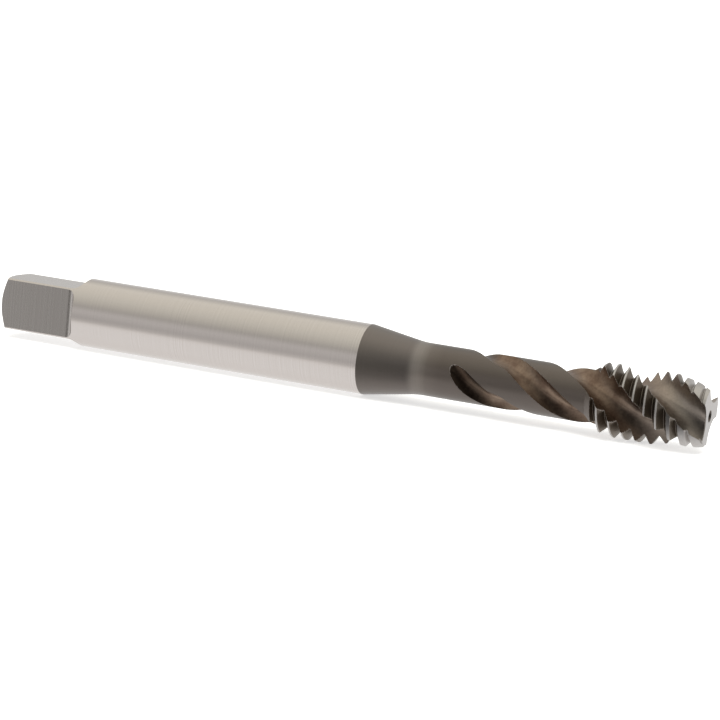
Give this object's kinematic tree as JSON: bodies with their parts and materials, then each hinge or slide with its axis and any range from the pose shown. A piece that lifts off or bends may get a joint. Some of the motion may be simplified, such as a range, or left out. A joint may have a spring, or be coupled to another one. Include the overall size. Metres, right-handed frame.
{
  "type": "thread tap",
  "caption": "Spiral-flute machine tap: square drive end, ground shank, conical step to a thinner neck, fluted and threaded cutting head with a chamfered nose.",
  "frame": {"origin": "on the resting plane, under the middle of the tool's length", "axes": "+X along the tool's axis towards the cutting nose; the tool lies down, with the flats of its driving square facing +-Y and +-Z"},
  "size_m": [0.1024, 0.0098, 0.0097],
  "materials": {
    "tool_steel": "ground high-speed steel, bright on the shank, with a dark grey-brown steam-oxide skin from the cone forward"
  },
  "bodies": {
    "root": {"tap": "tool_steel"}
  },
  "joints": []
}
